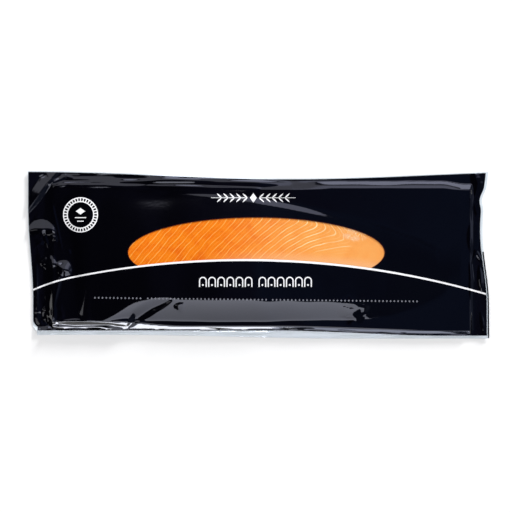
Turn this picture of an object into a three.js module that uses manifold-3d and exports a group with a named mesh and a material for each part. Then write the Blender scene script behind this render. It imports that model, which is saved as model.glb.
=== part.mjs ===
// A vacuum pack of sliced smoked salmon, lying flat with its printed face up, in millimetres.
//
// One side of salmon, sliced and put back in its own shape, lies on a stiff card. The card and the fish are sealed
// between two webs of plastic film: a clear back web, which the pack rests on, and a black printed front web, which
// the vacuum pulls down over the fish, over the edge of the card and onto the back web. The print leaves a clear
// window over the middle of the fish, and it stops short of the cut edge, so a clear strip shows round the pack.
//
// +X runs along the pack from the head end of the fish to its tail, +Y towards the belly side, +Z up.
// The origin is on the table, under the middle of the pack.

import * as THREE from "three";
import { mergeVertices } from "three/addons/utils/BufferGeometryUtils.js";
import Module from "manifold-3d";

// Driving dimensions.
const PACK_LENGTH = 620;
const PACK_WIDTH = 225;
const FILM = 0.5; // thickness of each web, drawn a little heavier than real pouch film
const GAP = 0.3; // air between pieces that touch

const CARD = { left: -276, right: 284.5, bottom: -94.5, top: 87.1, thickness: 1.2, cornerRadius: 5 };
const CARD_TOP = FILM + GAP + CARD.thickness;

// How far the cut edge of the pouch is drawn in from a plain rectangle by what it holds.
const LEFT_LEAN = 6.5;
const TOP_SAG = { depth: 10, middle: 45, reach: 355 };
const RIGHT_NOTCH = { depth: 3.6, middle: 76, reach: 18 };
const RIGHT_BOW = { depth: 9, middle: 34, reach: 105 };
const BOTTOM_STEP = 5;
const CORNER_CUT = { depth: 6, reach: 10 };

// The clear strip between the print and the cut edge. Along the bottom the print has an edge of its own.
const CLEAR_STRIP = { left: 0.8, right: 3.2, top: 1.2 };
const PRINT_BOTTOM = { y: -101.6, step: 7.1 };

// The side of salmon: its outline seen from above, and its height above the card.
const FISH = { bellyY: 84, loinY: -92, headX: -258, tailX: 262, tailStart: 240 };
const BELLY_TAPER = { from: -118, reach: 357, drop: 75, power: 1.7 };
const LOIN_TAPER = { from: 120, reach: 133, rise: 44, power: 2.2 };
const HEAD_HOLLOW = { depth: 16, y: -5, halfWidth: 90, cornerRounding: 14, cornerPower: 8 };
const LOIN_HEIGHT = { thick: 19, thin: 10 };
const BELLY_HEIGHT = { thick: 12, thin: 4 };

// How the film rounds over each side of the fish: its foot reaches out, and it is level again within width.
const ROUNDING = {
  belly: { foot: 16, width: 16, power: 4 },
  loin: { foot: 8, width: 34, power: 2.2 },
  head: { foot: 12, width: 20, power: 2.6 },
  tail: { foot: 10, width: 34, power: 2.2 },
};
const FOOT_SOFTNESS = 5;

// Beyond the card the front web falls to the back web within these distances.
const FALL = { left: 11, right: 8, bottom: 6, top: 10, power: 1.4 };

// The sealed margin lifts off the table towards the cut edge, in slow waves.
const LIFT = {
  left: { height: 3, width: 34, wave: 74, phase: 1 },
  right: { height: 2.2, width: 25, wave: 58, phase: 0 },
  top: { height: 2.4, width: 22, wave: 150, phase: 0.5 },
  bottom: { height: 0.8, width: 15, wave: 120, phase: 2 },
};
const LIFT_POWER = 1.6;
const WAVE_SHARE = 0.45;
// One corner is bent up along a straight crease, from one cut edge to the other.
const BENT_CORNER = { from: [-267, 111.3], to: [-308.7, 61.5], slope: 0.15 };

// The window is an ellipse cut off below by the printed arc.
const WINDOW = { x: -2.7, y: 3, halfLength: 172, halfHeight: 47 };
const ARC = { x: -18, y: -7.1, radius: 1170, halfWidth: 1.6 };

const GRID = { columns: 40, rows: 18, crowding: 0.5 };

const mix = (a, b, t) => a + (b - a) * t;
const clamp01 = (t) => Math.min(Math.max(t, 0), 1);
const smooth = (from, to, v) => {
  const t = clamp01((v - from) / (to - from));
  return t * t * (3 - 2 * t);
};
// One smooth hollow in an edge, gone at its reach to each side of its middle.
const hollow = (v, { depth, middle, reach }) =>
  depth * Math.cos((Math.PI / 2) * Math.min(Math.abs(v - middle) / reach, 1)) ** 2;

// The cut edges of the pouch.
const cutEdge = {
  left: (y) =>
    -PACK_LENGTH / 2 +
    LEFT_LEAN * smooth(60, -70, y) +
    CORNER_CUT.depth * clamp01((cutEdge.bottom(-PACK_LENGTH / 2) + CORNER_CUT.reach - y) / CORNER_CUT.reach) ** 2,
  right: (y) => PACK_LENGTH / 2 - hollow(y, RIGHT_NOTCH) - hollow(y, RIGHT_BOW),
  bottom: (x) => -PACK_WIDTH / 2 + BOTTOM_STEP * (1 - smooth(-200, 120, x)),
  top: (x) => PACK_WIDTH / 2 - hollow(x, TOP_SAG),
};

// The edges of the black print.
const printEdge = {
  left: (y) => cutEdge.left(y) + CLEAR_STRIP.left,
  right: (y) => cutEdge.right(y) - CLEAR_STRIP.right,
  bottom: (x) => PRINT_BOTTOM.y - PRINT_BOTTOM.step * smooth(20, 250, x),
  top: (x) => cutEdge.top(x) - CLEAR_STRIP.top,
};

// The outline of the fish.
const bellyEdge = (x) =>
  FISH.bellyY - BELLY_TAPER.drop * clamp01((x - BELLY_TAPER.from) / BELLY_TAPER.reach) ** BELLY_TAPER.power;
const loinEdge = (x) =>
  FISH.loinY + LOIN_TAPER.rise * clamp01((x - LOIN_TAPER.from) / LOIN_TAPER.reach) ** LOIN_TAPER.power;
function headEdge(y) {
  const share = (y - HEAD_HOLLOW.y) / HEAD_HOLLOW.halfWidth;
  return FISH.headX - HEAD_HOLLOW.depth * share ** 2 + HEAD_HOLLOW.cornerRounding * share ** HEAD_HOLLOW.cornerPower;
}

// Share of the full height at a distance inside one side of the fish. Outside it the film bridges down to the card.
function rounded(inside, { foot, width, power }) {
  const reach = inside + foot;
  const soft = (reach + Math.hypot(reach, FOOT_SOFTNESS)) / 2;
  return 1 - (1 - clamp01(soft / (foot + width))) ** power;
}

// Height of the film over the fish, above the card.
function fishHeight(x, y) {
  const belly = bellyEdge(x);
  const loin = loinEdge(x);
  const across = Math.sin((clamp01((belly - y) / (belly - loin)) * Math.PI) / 2);
  const bellyHeight = mix(BELLY_HEIGHT.thick, BELLY_HEIGHT.thin, smooth(-170, 120, x));
  const loinHeight = mix(LOIN_HEIGHT.thick, LOIN_HEIGHT.thin, smooth(-40, 250, x));
  return (
    mix(bellyHeight, loinHeight, across) *
    rounded(belly - y, ROUNDING.belly) *
    rounded(y - loin, ROUNDING.loin) *
    rounded(x - headEdge(y), ROUNDING.head) *
    rounded(FISH.tailX - x, ROUNDING.tail)
  );
}

// How far the sealed margin is off the table. Under the card it is nothing.
function marginLift(x, y) {
  const rise = ({ height, width, wave, phase }, out, along) =>
    height *
    clamp01(out / width) ** LIFT_POWER *
    (1 + WAVE_SHARE * Math.sin((2 * Math.PI * along) / wave + phase));
  const [fromX, fromY] = BENT_CORNER.from;
  const [toX, toY] = BENT_CORNER.to;
  const creaseLength = Math.hypot(toX - fromX, toY - fromY);
  const pastCrease = ((x - fromX) * (toY - fromY) - (y - fromY) * (toX - fromX)) / creaseLength;
  return (
    rise(LIFT.left, CARD.left - x, y) +
    rise(LIFT.right, x - CARD.right, y) +
    rise(LIFT.top, y - CARD.top, x) +
    rise(LIFT.bottom, CARD.bottom - y, x) +
    BENT_CORNER.slope * Math.max(pastCrease, 0)
  );
}

// Underside of the front web: over the fish and the card inside the card's edge, and falling to the back web outside.
function frontUnderside(x, y) {
  const onCardX = Math.min(Math.max(x, CARD.left), CARD.right);
  const onCardY = Math.min(Math.max(y, CARD.bottom), CARD.top);
  const outX = (x - onCardX) / (x < 0 ? FALL.left : FALL.right);
  const outY = (y - onCardY) / (y < 0 ? FALL.bottom : FALL.top);
  const left = (1 - clamp01(Math.hypot(outX, outY))) ** FALL.power;
  const seated = FILM + GAP + marginLift(x, y);
  const overCard = CARD_TOP + GAP + fishHeight(onCardX, onCardY);
  return mix(seated, overCard, left);
}

// Positions from one end to the other, closer together near both ends.
function graded(from, to, count) {
  return Array.from({ length: count + 1 }, (_, i) => {
    const t = i / count;
    return mix(from, to, t - (GRID.crowding * Math.sin(2 * Math.PI * t)) / (2 * Math.PI));
  });
}
const columns = graded(CARD.left, CARD.right, GRID.columns);
const rows = graded(CARD.bottom, CARD.top, GRID.rows);

// The edge of the card as a loop of grid points, anticlockwise from its lower left corner, each with its place on the
// unit square, which finds the same spot on the pouch's edges.
function cardLoop() {
  const loop = [];
  const add = (i, j) =>
    loop.push({ x: columns[i], y: rows[j], u: i / GRID.columns, v: j / GRID.rows, i, j });
  for (let i = 0; i < GRID.columns; i++) add(i, 0);
  for (let j = 0; j < GRID.rows; j++) add(GRID.columns, j);
  for (let i = GRID.columns; i > 0; i--) add(i, GRID.rows);
  for (let j = GRID.rows; j > 0; j--) add(0, j);
  return loop;
}
const loop = cardLoop();

function onEdge(edge, { u, v }) {
  const x = mix(-PACK_LENGTH / 2, PACK_LENGTH / 2, u);
  const y = mix(-PACK_WIDTH / 2, PACK_WIDTH / 2, v);
  return [mix(edge.left(y), edge.right(y), u), mix(edge.bottom(x), edge.top(x), v)];
}

// The foot of the fall round the card, which stays inside the print.
function atFall(point, share) {
  const side = { x: point.u === 0 ? -FALL.left : point.u === 1 ? FALL.right : 0 };
  side.y = point.v === 0 ? -FALL.bottom : point.v === 1 ? FALL.top : 0;
  return [point.x + side.x * share, point.y + side.y * share];
}

const midway = (a, b) => [mix(a[0], b[0], 0.5), mix(a[1], b[1], 0.5)];
const rings = {
  card: loop.map((p) => [p.x, p.y]),
  falling: loop.map((p) => atFall(p, 0.4)),
  foot: loop.map((p) => atFall(p, 1)),
  margin: loop.map((p) => midway(atFall(p, 1), onEdge(printEdge, p))),
  print: loop.map((p) => onEdge(printEdge, p)),
  cut: loop.map((p) => onEdge(cutEdge, p)),
};

// A flat plan of points and triangles, filled inside the card's edge and ringed outside it.
class Plan {
  constructor() {
    this.points = [];
    this.triangles = [];
  }
  add([x, y]) {
    return this.points.push([x, y]) - 1;
  }
  quad(a, b, c, d) {
    this.triangles.push([a, b, c], [a, c, d]);
  }
  ring(inner, places) {
    const outer = places.map((p) => this.add(p));
    inner.forEach((a, k) => {
      const next = (k + 1) % inner.length;
      this.quad(a, outer[k], outer[next], inner[next]);
    });
    return outer;
  }
}

// The whole card area on the grid. Returns the plan and its edge loop.
function gridPlan() {
  const plan = new Plan();
  const at = columns.map((x) => rows.map((y) => plan.add([x, y])));
  for (let i = 0; i < GRID.columns; i++)
    for (let j = 0; j < GRID.rows; j++) plan.quad(at[i][j], at[i + 1][j], at[i + 1][j + 1], at[i][j + 1]);
  return { plan, edge: loop.map(({ i, j }) => at[i][j]) };
}

// The card area with as few triangles as its edge loop allows, for a web that is flat there.
function flatPlan() {
  const plan = new Plan();
  const edge = rings.card.map((p) => plan.add(p));
  const { columns: nx, rows: ny } = GRID;
  const lower = (i) => edge[i];
  const upper = (i) => edge[2 * nx + ny - i];
  const right = (j) => edge[nx + j];
  const left = (j) => edge[(2 * (nx + ny) - j) % edge.length];
  for (let i = 1; i < nx - 1; i++) plan.quad(lower(i), lower(i + 1), upper(i + 1), upper(i));
  for (let j = 0; j < ny; j++) {
    plan.triangles.push([lower(1), left(j + 1), left(j)]);
    plan.triangles.push([lower(nx - 1), right(j), right(j + 1)]);
  }
  plan.triangles.push([lower(1), upper(1), upper(0)], [lower(nx - 1), upper(nx), upper(nx - 1)]);
  return { plan, edge };
}

// A closed solid between two heights over a plan.
function slab({ points, triangles }, underside, topside) {
  const position = [];
  for (const height of [underside, topside])
    for (const [x, y] of points) position.push(x, y, height(x, y));
  const up = points.length;
  const index = [];
  const edges = new Set(triangles.flatMap(([a, b, c]) => [`${a} ${b}`, `${b} ${c}`, `${c} ${a}`]));
  for (const [a, b, c] of triangles) {
    index.push(a + up, b + up, c + up, a, c, b);
    for (const [from, to] of [[a, b], [b, c], [c, a]])
      if (!edges.has(`${to} ${from}`)) index.push(from, to, to + up, from, to + up, from + up);
  }
  const geometry = new THREE.BufferGeometry();
  geometry.setAttribute("position", new THREE.Float32BufferAttribute(position, 3));
  return geometry.setIndex(index);
}

const wasm = await Module();
wasm.setup();

function toSolid(geometry) {
  const bare = geometry.clone();
  bare.deleteAttribute("normal");
  bare.deleteAttribute("uv");
  const merged = mergeVertices(bare, 1e-3);
  return new wasm.Manifold(
    new wasm.Mesh({
      numProp: 3,
      vertProperties: merged.attributes.position.array,
      triVerts: new Uint32Array(merged.index.array),
    }),
  );
}

function toGeometry(solid) {
  const { vertProperties, triVerts } = solid.getMesh();
  const geometry = new THREE.BufferGeometry();
  geometry.setAttribute("position", new THREE.BufferAttribute(vertProperties, 3));
  geometry.setIndex(new THREE.BufferAttribute(triVerts, 1));
  const faceted = geometry.toNonIndexed();
  faceted.computeVertexNormals();
  return faceted;
}

// A straight-sided solid from a flat outline.
function prism(shape, bottom, top, curveSegments) {
  return new THREE.ExtrudeGeometry(shape, { depth: top - bottom, bevelEnabled: false, curveSegments }).translate(
    0,
    0,
    bottom,
  );
}

// The window's outline, drawn in by a margin. The ellipse runs from where it leaves the arc on the right, over the
// top, to where it meets it again on the left.
function windowShape(margin) {
  const a = WINDOW.halfLength - margin;
  const b = WINDOW.halfHeight - margin;
  const radius = ARC.radius + ARC.halfWidth + margin;
  const centre = [ARC.x, ARC.y - ARC.radius];
  const aboveArc = (turn) =>
    Math.hypot(WINDOW.x + a * Math.cos(turn) - centre[0], WINDOW.y + b * Math.sin(turn) - centre[1]) - radius;
  const meeting = (above, below) => {
    for (let step = 0; step < 40; step++) {
      const half = (above + below) / 2;
      if (aboveArc(half) > 0) above = half;
      else below = half;
    }
    return above;
  };
  const right = meeting(0, -Math.PI / 2);
  const left = meeting(Math.PI, (3 * Math.PI) / 2);
  const bearing = (turn) =>
    Math.atan2(WINDOW.y + b * Math.sin(turn) - centre[1], WINDOW.x + a * Math.cos(turn) - centre[0]);
  const shape = new THREE.Shape();
  shape.absellipse(WINDOW.x, WINDOW.y, a, b, right, left, false);
  shape.absarc(centre[0], centre[1], radius, bearing(left), bearing(right), true);
  return shape;
}

// The outline of the fish: along the loin to the tail, round it, back along the belly, and down the hollow head end.
function fishShape() {
  const points = [];
  const steps = 22;
  const headX = headEdge(FISH.bellyY);
  for (let k = 0; k <= steps; k++) {
    const x = mix(headX, FISH.tailStart, k / steps);
    points.push([x, loinEdge(x)]);
  }
  const tailBelly = bellyEdge(FISH.tailStart);
  const tailLoin = loinEdge(FISH.tailStart);
  for (let k = 1; k < 8; k++) {
    const turn = mix(-Math.PI / 2, Math.PI / 2, k / 8);
    points.push([
      FISH.tailStart + (FISH.tailX - FISH.tailStart) * Math.cos(turn),
      mix(tailLoin, tailBelly, (1 + Math.sin(turn)) / 2),
    ]);
  }
  for (let k = steps; k >= 0; k--) {
    const x = mix(headX, FISH.tailStart, k / steps);
    points.push([x, bellyEdge(x)]);
  }
  for (let k = 1; k < 10; k++) {
    const y = mix(FISH.bellyY, FISH.loinY, k / 10);
    points.push([headEdge(y), y]);
  }
  return new THREE.Shape(points.map(([x, y]) => new THREE.Vector2(x, y)));
}

function cardShape() {
  const { left, right, bottom, top, cornerRadius: r } = CARD;
  const shape = new THREE.Shape();
  shape.absarc(right - r, bottom + r, r, -Math.PI / 2, 0, false);
  shape.absarc(right - r, top - r, r, 0, Math.PI / 2, false);
  shape.absarc(left + r, top - r, r, Math.PI / 2, Math.PI, false);
  shape.absarc(left + r, bottom + r, r, Math.PI, (3 * Math.PI) / 2, false);
  return shape;
}

const ABOVE_ALL = 60;
const pack = new THREE.Group();

function addPiece(name, geometry, material) {
  const mesh = new THREE.Mesh(geometry, new THREE.MeshStandardMaterial(material));
  mesh.name = name;
  pack.add(mesh);
}

// The back web.
const back = flatPlan();
let backEdge = back.edge;
for (const places of [rings.foot, rings.margin, rings.print, rings.cut]) backEdge = back.plan.ring(backEdge, places);
addPiece(
  "back_film",
  slab(back.plan, marginLift, (x, y) => marginLift(x, y) + FILM),
  { color: "#c9dcea", roughness: 0.12, metalness: 0, transparent: true, opacity: 0.45 },
);

// The card.
addPiece("card", prism(cardShape(), FILM + GAP, CARD_TOP, 6), { color: "#e9e6df", roughness: 0.6, metalness: 0 });

// The front web is one sheet of film. The window is cut out of it and stays as its own clear panel.
const front = gridPlan();
let frontEdge = front.edge;
for (const places of [rings.falling, rings.foot, rings.margin, rings.print])
  frontEdge = front.plan.ring(frontEdge, places);
const frontWeb = toSolid(slab(front.plan, frontUnderside, (x, y) => frontUnderside(x, y) + FILM));
const printed = frontWeb.subtract(toSolid(prism(windowShape(0), 0, ABOVE_ALL, 30)));
const clear = frontWeb.intersect(toSolid(prism(windowShape(GAP), 0, ABOVE_ALL, 30)));
addPiece("front_film", toGeometry(printed), { color: "#07070d", roughness: 0.1, metalness: 0 });
addPiece("window_film", toGeometry(clear), {
  color: "#f4f8fb",
  roughness: 0.06,
  metalness: 0,
  transparent: true,
  opacity: 0.25,
});

// The fish fills what the film leaves above the card, inside its own outline.
const underFilm = slab(
  gridPlan().plan,
  () => CARD_TOP + GAP / 2,
  (x, y) => frontUnderside(x, y) - GAP,
);
const fish = toSolid(prism(fishShape(), CARD_TOP + GAP, ABOVE_ALL, 1)).intersect(toSolid(underFilm));
addPiece("salmon_side", toGeometry(fish), { color: "#f58a2c", roughness: 0.35, metalness: 0 });

export default pack;
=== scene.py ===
# A vacuum pack of sliced smoked salmon, lying face up, dressed round its construction model.
#
# Sizes are millimetres, as on the real pack, and a mesh is scaled to metres when it is made. +X runs along the
# pack from the head end of the fish to its tail, +Y towards the belly side, +Z up out of the printed face.

import math

import bpy
import numpy as np
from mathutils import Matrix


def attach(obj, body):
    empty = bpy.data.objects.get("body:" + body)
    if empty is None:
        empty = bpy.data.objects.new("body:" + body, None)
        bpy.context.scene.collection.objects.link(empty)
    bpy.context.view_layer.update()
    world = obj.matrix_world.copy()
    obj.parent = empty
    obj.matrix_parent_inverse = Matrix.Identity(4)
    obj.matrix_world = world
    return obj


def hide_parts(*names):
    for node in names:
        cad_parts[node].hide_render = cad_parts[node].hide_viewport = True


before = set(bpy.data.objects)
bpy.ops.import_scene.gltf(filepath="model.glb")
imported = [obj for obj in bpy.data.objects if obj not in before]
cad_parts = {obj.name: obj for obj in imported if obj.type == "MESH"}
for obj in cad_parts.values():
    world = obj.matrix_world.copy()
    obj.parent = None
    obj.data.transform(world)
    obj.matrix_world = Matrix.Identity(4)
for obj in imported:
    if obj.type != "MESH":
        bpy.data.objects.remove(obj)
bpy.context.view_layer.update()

MM = 0.001
BODY = "root"

# The pouch, from the construction model.
PACK_LENGTH = 620
PACK_WIDTH = 225
FILM = 0.5
GAP = 0.3
CARD = {"left": -276, "right": 284.5, "bottom": -94.5, "top": 87.1, "thickness": 1.2}
CARD_TOP = FILM + GAP + CARD["thickness"]
LEFT_LEAN = {"depth": 6.5, "from": 60, "to": -70}
TOP_SAG = {"depth": 10, "middle": 45, "reach": 355}
RIGHT_NOTCH = {"depth": 3.6, "middle": 76, "reach": 18}
RIGHT_BOW = {"depth": 9, "middle": 34, "reach": 105}
BOTTOM_STEP = {"height": 5, "from": -200, "to": 120}
CORNER_CUT = {"depth": 6, "reach": 10}
CLEAR_STRIP = {"left": 0.8, "right": 3.2, "top": 1.2}
PRINT_BOTTOM = {"y": -101.6, "step": 7.1, "from": 20, "to": 250}
# How far past the card the film turns down, and how far it draws in at the head end.
FILM_TURN = 1.3
HEAD_DRAW = {"from": -100, "to": -200, "depth": 6.5}

# The fish under the film.
FISH = {"belly": 84, "loin": -92, "head": -258, "tail": 262}
BELLY_TAPER = {"from": -118, "reach": 357, "drop": 75, "power": 1.7}
LOIN_TAPER = {"from": 120, "reach": 133, "rise": 44, "power": 2.2}
HEAD_HOLLOW = {"depth": 16, "y": -5, "half_width": 90, "corner_rounding": 14, "corner_power": 8}
# Its thickness: highest along a ridge, a little lower at the loin, and thin along the belly. Each list gives the
# thickness at places along the pack.
RIDGE = {
    "across": 0.35, "roundness": 0.2,
    "height": [(-215, 11.9), (-185, 15.7), (-150, 17), (-100, 17.4), (-50, 18.6), (0, 18.4), (262, 3)],
}
LOIN_SHARE = 0.79
BELLY_THICKNESS = [(-130, 0.2), (-100, 1.7), (-50, 2.8), (0, 3.3), (55, 2.6), (100, 1.2), (262, 0.6)]
# How the film rounds off at each side of the fish: how far outside it starts, how far inside it ends, and how
# early it does most of its rise.
ROUNDING = {
    "belly": {"foot": 5.5, "width": 3, "power": 1.5},
    "loin": {"foot": 4.4, "power": 2},
    "head": {"foot": -8, "width": 36, "power": 1.9},
    "tail": {"foot": 10, "width": 90, "power": 1.5},
}
LOIN_WIDTH = [(-208, 4.6), (-186, 17), (-173, 25.6), (-160, 33), (-126, 36.6), (-105, 33), (240, 33)]
LOIN_WAVE = {"height": 2, "size": 26, "stretch": 0.3}
FOOT_SOFTNESS = 2
# A list of sizes along the pack is averaged over these offsets, which rounds off the turns at its places.
TURN_OFFSETS = (-9, -6, -3, 0, 3, 6, 9)
# Along the card's long edges the film stands a little above it, and comes down slowly towards the middle.
RIM = {
    "bottom": [(-215, 9.5), (-186, 10.6), (-172, 9.5), (-156, 6), (60, 6), (120, 5), (284, 4)],
    "top": [(-165, 1), (-140, 1.4), (-60, 1.4), (40, 2.8), (284, 2.9)],
    "slope": 0.09,
    "softness": 1,
}
# How the film comes down from the card's edges to the seal. Along the top it stays up for a start and then falls
# in a curve. Along the bottom it is a wall of nearly one steepness, with creases that run along it.
FALL = {"left": {"reach": 11, "power": 1.4}, "right": {"reach": 4, "power": 1.2}}
TOP_FALL = {
    "start": [(-150, 5), (-60, 2), (-20, 0)],
    "reach": [(-150, 11), (0, 13), (40, 12), (256, 12), (268, 8)],
    "power": [(-150, 1.3), (0, 1.1), (56, 1.05), (95, 1.8), (256, 1.8), (268, 1)],
}
WALL = {"slope": 0.88, "crease": [(-200, 0.2), (-140, 0.09), (0, 0.07)], "along": 26, "across": 4.5, "lean": 0.1}
# The margin along the top stands off the table, and its cut edge rolls down over this width.
TOP_ROLL = {"width": 5.5, "rise": 8, "height": [(-165, 0), (-135, 3), (0, 3.2), (35, 0)]}
# The margins at the two ends lift off the table towards the cut.
LIFT = {
    "left": {"height": 0.6, "width": 34, "wave": 74, "phase": 1},
    "right": {"height": 1.2, "width": 25, "wave": 58, "phase": 0},
}
# The clear hem along the bottom stands up where the print ends, and comes down to the table in two steps.
HEM = {
    "height": 2.4, "inner": 6, "wave": 86, "phase": 2, "crease": 0.35, "along": 40, "across": 4,
    "steps": [(0, 1), (0.08, 1), (0.31, 0.5), (0.77, 0.47), (1, 0)],
}
LIFT_POWER = 1.6
WAVE_SHARE = 0.2
# The corner at the top left is bent up along a crease between two points of the cut edge.
BENT_CORNER = {"from": (-267, 111.3), "to": (-308.7, 61.5), "slope": 0.04}

# Faint ripples all over the film, and the fine creases that run along the margin at the top.
RIPPLE = {"height": 0.09, "size": 24}
STREAK = {
    "height": [(-250, 0.8), (-140, 0.55), (0, 0.4), (60, 0.18)],
    "along": 38, "across": 3.6, "rise": 4, "from": -274, "to": -258,
}
# Crumples in the two end margins and in the corner at the bottom left: how high they stand, and between which
# places they set in, along the pack and across it. Finer ones run over them.
CRUMPLES = {
    "left margin": {"height": 0.1, "x": (-270, -279), "y": (60, 45)},
    "right margin": {"height": 0.04, "x": (288, 294)},
    "bottom left corner": {"height": 0.5, "x": (-258, -272), "y": (-62, -84)},
}
CRUMPLE = {"size": 11, "times_finer": 2.3, "finer_share": 0.4}
# The back web is creased with the front one where they are sealed together, though a little less.
BACK_CREASE = {"rise": 4, "share": 0.8}
SEEDS = {
    "loin": 12, "crumple": 21, "finer crumple": 22, "ripple": 23, "streak": 24, "wall": 31, "hem": 41,
    "flake bend": 3, "flake wobble": 4, "tangle": 6, "fat": 8, "pale fat": 9,
}

# Folds and dents in the film: where the crest runs, how high it stands, and how wide its slopes are to the left
# and right of the way it runs. A flat one has slopes of one steepness, and the others are rounded at the crest
# and foot.
FOLDS = {
    "bent corner": {"path": [(-262, 121), (-284.5, 95.2), (-316, 51)],
                    "height": 4.2, "left": 6, "right": 12.5, "flat": True},
    "upper sliver": {"path": [(-280.4, 95.2), (-269.7, 100.5), (-258.9, 105.2), (-248.2, 103.2)],
                     "height": 1.1, "left": 4, "right": 3},
    "lower sliver": {"path": [(-283.1, 94.5), (-271, 92.5), (-258, 93.1)],
                     "height": 0.9, "left": 3.5, "right": 3},
    "swirl": {"path": [(-297, 96), (-294, 104), (-286, 107), (-281, 100)],
              "height": -0.7, "left": 3, "right": 3},
    "top ridge": {"path": [(-152, 93.2), (-100, 92.4), (-50, 91.2), (5, 90)],
                  "height": 1.2, "left": 1.9, "right": 12},
    "head crease": {"path": [(-284.5, 94), (-277, 66), (-270.5, 37), (-263, 2)],
                    "height": 0.4, "left": 1.6, "right": 1.6},
    "half round": {"path": [(-312, 31), (-299, 33), (-286, 33), (-272, 31)],
                   "height": 4.2, "left": 16, "right": 5.5},
    "post": {"path": [(-287.8, 27.9), (-283.1, 9.1)], "height": 1.0, "left": 3, "right": 2.5},
    "bar": {"path": [(-297.9, 15.1), (-287.2, 16.5)], "height": 0.8, "left": 3, "right": 2},
    "small triangle": {"path": [(-279.8, 24.5), (-270.3, 19.2)], "height": 1.4, "left": 6, "right": 2},
    "crescent": {"path": [(-294, -11), (-283.1, -15.5), (-270, -13)],
                 "height": 2.4, "left": 20, "right": 2.8, "flat": True},
    "seal line": {"path": [(-298.6, -9.8), (-297.2, -81)],
                  "height": 1.1, "left": 2.1, "right": 3, "flat": True},
    "leaf": {"path": [(-271, -12), (-262, -20), (-251, -24)],
             "height": 4.2, "left": 13, "right": 8, "flat": True},
    "leaf stalk": {"path": [(-262, -18), (-268, -36), (-273, -62)], "height": 0.9, "left": 4, "right": 4},
    "double line": {"path": [(-264.3, -27.2), (-271, -50.1), (-275.1, -74.3)],
                    "height": 0.9, "left": 2.5, "right": 3},
    "fleck": {"path": [(-256.2, 6.4), (-252.2, 2.4)], "height": 0.5, "left": 2, "right": 2},
    "small arc": {"path": [(-289.8, -73), (-285.1, -70.9), (-280.4, -74.3)],
                  "height": 1.0, "left": 3, "right": 4},
    "diagonal": {"path": [(-285.1, -78.3), (-272.4, -93.1)], "height": 1.8, "left": 5, "right": 5},
    "upper lip": {"path": [(-269.7, -89.8), (-246.8, -88.4), (-214.5, -89.9)],
                  "height": 0.8, "left": 4, "right": 3},
    "lower lip": {"path": [(-272, -93.5), (-247, -95), (-213, -94.5), (-190, -94)],
                  "height": -0.9, "left": 8, "right": 2.4},
    "wedge": {"path": [(-176, -99), (-162, -83), (-141, -70.5), (-117, -61)],
              "height": -2.6, "left": 12, "right": 9.5},
    "spot": {"path": [(-112, -69), (-101, -65)], "height": 1.3, "left": 3, "right": 12},
    "band end": {"path": [(142, -56), (128, -66), (137, -72), (125, -78), (131, -86), (121, -94)],
                 "height": 1.5, "left": 14, "right": 20},
    "band patch": {"path": [(147, -68.5), (140, -77.5)], "height": 1.0, "left": 4, "right": 7},
    "belly line": {"path": [(89, 60), (130, 48.5), (177, 32.5), (210, 21), (241, 5.5), (247, -5)],
                   "height": 0.34, "left": 1.6, "right": 5, "flat": True},
    "upper flange": {"path": [(286, 84), (295, 52)], "height": 0.9, "left": 9, "right": 7},
    "lower flange": {"path": [(287, 46), (286, 2)], "height": 0.8, "left": 14, "right": 7},
    "knot": {"path": [(287.2, -9.8), (292.5, 3.7), (300.6, -9.8)], "height": 1.2, "left": 4, "right": 4},
    "right streak": {"path": [(283.8, -10), (286, -30), (285, -60)], "height": 1.2, "left": 5, "right": 3},
    "right patch": {"path": [(297, -14), (299, -40), (301, -52)], "height": 1.4, "left": 5, "right": 4},
    "low right": {"path": [(298.6, -77), (303.3, -105.2)], "height": 0.9, "left": 4, "right": 3},
    "corner roll": {"path": [(288, 114), (295, 96), (291, 78)], "height": 1.8, "left": 11, "right": 9},
}
# Every fold narrows to nothing at both ends: the lower this power, the blunter they are.
FOLD_END = 0.6
# How much of a fold that isn't flat is rounded.
FOLD_ROUNDING = 0.4

# The print.
WINDOW = {"x": -2.7, "y": 3, "half_length": 172, "half_height": 47}
KEYLINE = {"outside": 0.2, "half_width": 0.45, "above_arc": 1.2, "past_half_turn": 0.5}
# The white arc is part of a large circle, dips at the left end, and is a little wider in the middle.
ARC = {
    "x": -18, "y": -7.1, "radius": 1170, "from": -303, "to": 305.5,
    "half_width": [(-303, 1.0), (-120, 1.25), (0, 1.4), (120, 1.35), (305.5, 1.15)],
}
ARC_DROP = {"from": -250, "reach": 54, "drop": 5}
ROUNDEL = {
    "x": -239, "y": 53.6, "outer": 23.7, "inner": 17.1,
    "marks": 34, "mark": {"half_height": 1.8, "half_foot": 0.95, "half_head": 1.3},
    "lozenge": {"half_length": 6.4, "half_width": 4.4, "y": 4.8},
    "bars": [(7.6, -3.8), (4.4, -8.6)], "bar_half_width": 0.6,
}
DIVIDER = {
    "x": -7, "y": 76.5, "half_length": 57, "leaves": 5, "start": 8, "bare_tip": 6,
    "stem_half_width": [0.45, 0.3], "lozenge": {"half_length": 4.6, "half_width": 6.4},
}
LEAF = {
    "length": 6.4, "off_stem": 0.6, "rise": 5.4, "curve": 1.3,
    "half_width": 0.9, "fullness": 0.8, "least_half_width": 0.05,
}
FRIEZE = {
    "y": -43, "pitch": 12.2, "gap": 1.8, "stroke": 1.6, "leg": 8.4, "dot": 1.3, "dot_y": 2.6,
    "groups": [("first_arches", -74.3, 6), ("last_arches", 5.2, 6)],
}
BEADS = {
    "line": [(-220, -57.5), (214.5, -62.6)], "pitch": 5.1, "half_length": 1.3, "half_width": 1.5,
    "lengths": [("first_beads", -219, 13), ("middle_beads", -148, 32), ("last_beads", 19, 39)],
}
# Painted shade: a strip of dark ink just inside the cut edge on the right, where the edge shows dark as it curls
# up.
CUT_EDGE_SHADE = {"from": 4, "to": -112, "inset": 0.95, "half_width": 0.9}
# Ink lies between these heights above the film.
INK = {"below": 0.05, "above": 0.1}
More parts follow.
